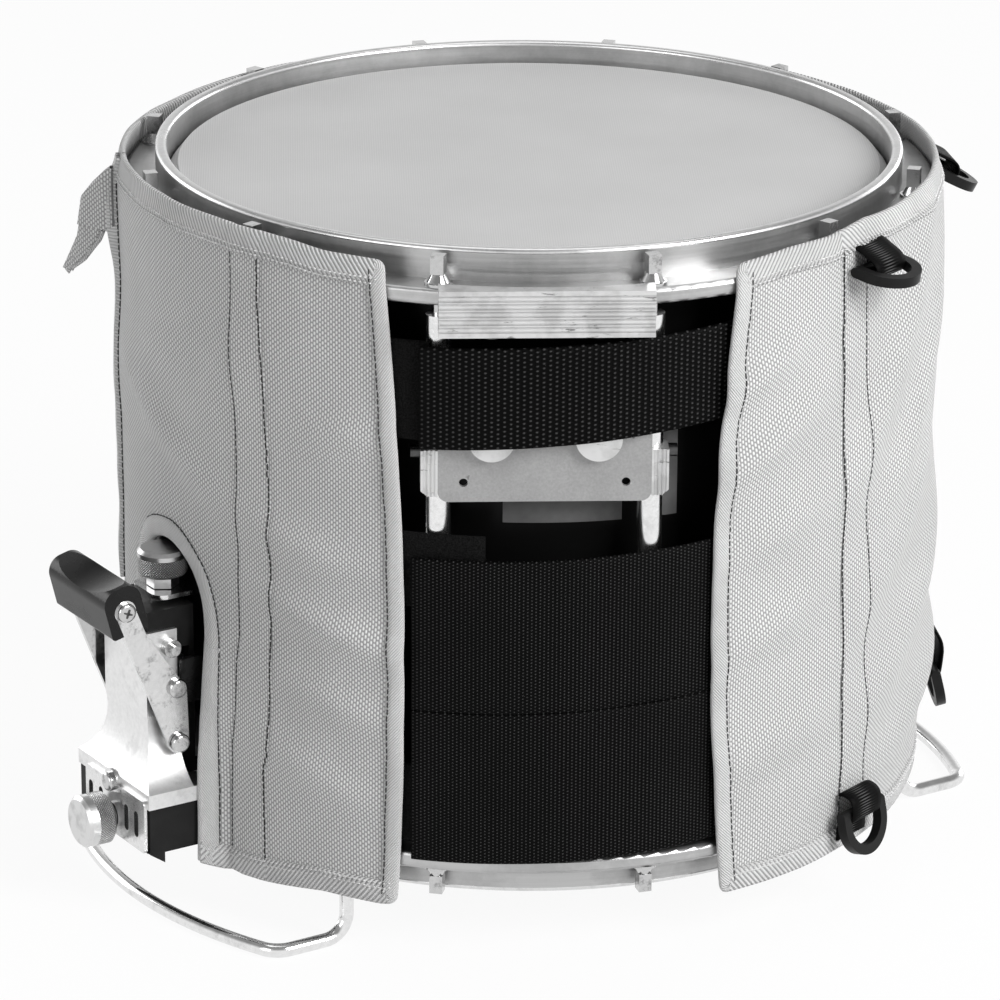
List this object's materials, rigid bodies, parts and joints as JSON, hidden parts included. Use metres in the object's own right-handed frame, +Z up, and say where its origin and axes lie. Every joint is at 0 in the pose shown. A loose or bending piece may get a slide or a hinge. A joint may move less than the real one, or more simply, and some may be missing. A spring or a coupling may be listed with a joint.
{
  "type": "covered marching snare drum",
  "caption": "Marching snare drum inside its fitted fabric cover, with front straps, hanging rings, a carrier bracket, a throw-off strainer and guard rods as feet.",
  "frame": {"origin": "on the drum's axis, on the plane that its two guard rods stand on", "axes": "+Z up out of the playing head; -Y towards the carrier bracket at the drum's front; +X to the right seen from the front"},
  "size_m": [0.4666, 0.4098, 0.3555],
  "materials": {
    "cover_cloth": "woven ballistic nylon, matte",
    "cover_binding": "ribbed webbing binding, matte",
    "black_webbing": "woven webbing, matte",
    "hook_and_loop": "brushed hook and loop, matte",
    "head_mesh": "coated woven head, satin",
    "head_hoop": "plain",
    "rim_aluminium": "brushed and worn",
    "tube_chrome": "polished",
    "rod_chrome": "polished",
    "guard_chrome": "polished",
    "snare_cable": "coated cable",
    "pressed_steel": "plated, satin",
    "bracket_aluminium": "scuffed, satin",
    "strainer_aluminium": "cast, satin",
    "knob_metal": "knurled",
    "dark_screw": "black oxide",
    "dark_shell": "dark lacquer, gloss",
    "pad_rubber": "matte",
    "black_plastic": "moulded, satin",
    "grey_plastic": "moulded, satin",
    "ring_plastic": "moulded"
  },
  "bodies": {
    "covered_drum": {"back_panel_binding": "cover_binding", "batter_head": "head_mesh", "batter_hoop": "head_hoop", "bottom_rim": "rim_aluminium", "bottom_tension_rods": "rod_chrome", "butt_clamp": "rim_aluminium", "butt_side_guard": "guard_chrome", "carrier_backing_bar": "bracket_aluminium", "carrier_clamps": "bracket_aluminium", "carrier_hook_block": "bracket_aluminium", "carrier_plate": "bracket_aluminium", "carrier_thumb_screws": "bracket_aluminium", "clamp_bolts": "dark_screw", "cover_back_panel": "cover_cloth", "cover_left_panel": "cover_cloth", "drum_shell": "dark_shell", "guard_nuts": "rod_chrome", "hook_block_screws": "dark_screw", "left_panel_binding": "cover_binding", "lug_ring": "rim_aluminium", "lug_tubes": "tube_chrome", "ring_tabs": "black_webbing", "rod_washers": "rod_chrome", "shell_pads": "pad_rubber", "slit_loop_patch": "hook_and_loop", "slot_plate": "pressed_steel", "snare_side_head": "head_mesh", "snare_side_hoop": "head_hoop", "snare_strands": "snare_cable", "strainer_base": "black_plastic", "strainer_bolts": "rod_chrome", "strainer_frame": "pressed_steel", "strainer_housing": "black_plastic", "strainer_side_guard": "guard_chrome", "strainer_top_plate": "pressed_steel", "strand_end_plates": "pressed_steel", "top_rim": "rim_aluminium", "top_tension_rods": "rod_chrome"},
    "right_flap": {"right_flap": "cover_cloth", "right_flap_binding": "cover_binding", "strap_anchors": "black_webbing"},
    "left_flap": {"left_flap": "cover_cloth", "left_flap_binding": "cover_binding", "loop_tabs": "hook_and_loop"},
    "upper_strap": {"upper_strap": "black_webbing"},
    "lower_strap": {"lower_strap": "black_webbing"},
    "slit_tab": {"slit_tab": "cover_cloth", "slit_hook_patch": "hook_and_loop"},
    "throw_off_lever": {"throw_off_handle": "black_plastic", "throw_off_arms": "pressed_steel", "lever_fasteners": "rod_chrome"},
    "snare_slide": {"snare_slide": "strainer_aluminium", "slide_caps": "grey_plastic", "snare_tape": "black_webbing"},
    "tension_knob": {"tension_knob": "knob_metal"},
    "base_knob": {"base_knob": "knob_metal"},
    "top_right_ring": {"top_right_ring": "ring_plastic"},
    "bottom_right_ring": {"bottom_right_ring": "ring_plastic"},
    "side_ring": {"side_ring": "ring_plastic"},
    "back_ring": {"back_ring": "ring_plastic"}
  },
  "joints": [
    {"name": "right_flap_open", "type": "hinge", "parent": "covered_drum", "child": "right_flap", "pos_m": [0.14008, -0.14761, 0.1895], "axis": [0, 0, 1], "range_deg": [0, 95]},
    {"name": "left_flap_open", "type": "hinge", "parent": "covered_drum", "child": "left_flap", "pos_m": [-0.13081, -0.15589, 0.1895], "axis": [0, 0, -1], "range_deg": [0, 95]},
    {"name": "upper_strap_peel", "type": "hinge", "parent": "right_flap", "child": "upper_strap", "pos_m": [0.07935, -0.18367, 0.2945], "axis": [0, 0, 1], "range_deg": [0, 90]},
    {"name": "lower_strap_peel", "type": "hinge", "parent": "right_flap", "child": "lower_strap", "pos_m": [0.07935, -0.18367, 0.1345], "axis": [0, 0, 1], "range_deg": [0, 90]},
    {"name": "slit_tab_swing", "type": "hinge", "parent": "covered_drum", "child": "slit_tab", "pos_m": [-0.20249, -0.02307, 0.3295], "axis": [0, 0, 1], "range_deg": [-32, 60]},
    {"name": "throw_off_swing", "type": "hinge", "parent": "covered_drum", "child": "throw_off_lever", "pos_m": [-0.18793, -0.1085, 0.0902], "axis": [0.5, -0.866, 0], "range_deg": [0, 70]},
    {"name": "snare_slide_drop", "type": "slide", "parent": "covered_drum", "child": "snare_slide", "axis": [0, 0, -1], "range_m": [0, 0.008]},
    {"name": "tension_knob_turn", "type": "hinge", "parent": "covered_drum", "child": "tension_knob", "pos_m": [-0.181, -0.1045, 0.1765], "axis": [0, 0, 1], "range_deg": [-720, 720]},
    {"name": "base_knob_turn", "type": "hinge", "parent": "covered_drum", "child": "base_knob", "pos_m": [-0.21651, -0.125, 0.0465], "axis": [-0.866, -0.5, 0], "range_deg": [-720, 720]},
    {"name": "top_right_ring_swing", "type": "hinge", "parent": "covered_drum", "child": "top_right_ring", "pos_m": [0.15834, -0.1338, 0.3314], "axis": [-0.6455, -0.7638, 0], "range_deg": [-80, 89]},
    {"name": "bottom_right_ring_swing", "type": "hinge", "parent": "covered_drum", "child": "bottom_right_ring", "pos_m": [0.15894, -0.13817, 0.054], "axis": [-0.6561, -0.7547, 0], "range_deg": [-11, 76]},
    {"name": "side_ring_swing", "type": "hinge", "parent": "covered_drum", "child": "side_ring", "pos_m": [0.2098, 0.01835, 0.0675], "axis": [0.0872, -0.9962, 0], "range_deg": [-13, 76]},
    {"name": "back_ring_swing", "type": "hinge", "parent": "covered_drum", "child": "back_ring", "pos_m": [0.20528, 0.02885, 0.3314], "axis": [0.1392, -0.9903, 0], "range_deg": [-61, 108]}
  ],
  "couplings": [
    {"joint": "left_flap_open", "follows": "right_flap_open", "ratio": 1},
    {"joint": "snare_slide_drop", "follows": "throw_off_swing", "m_per_rad": 0.006547}
  ]
}
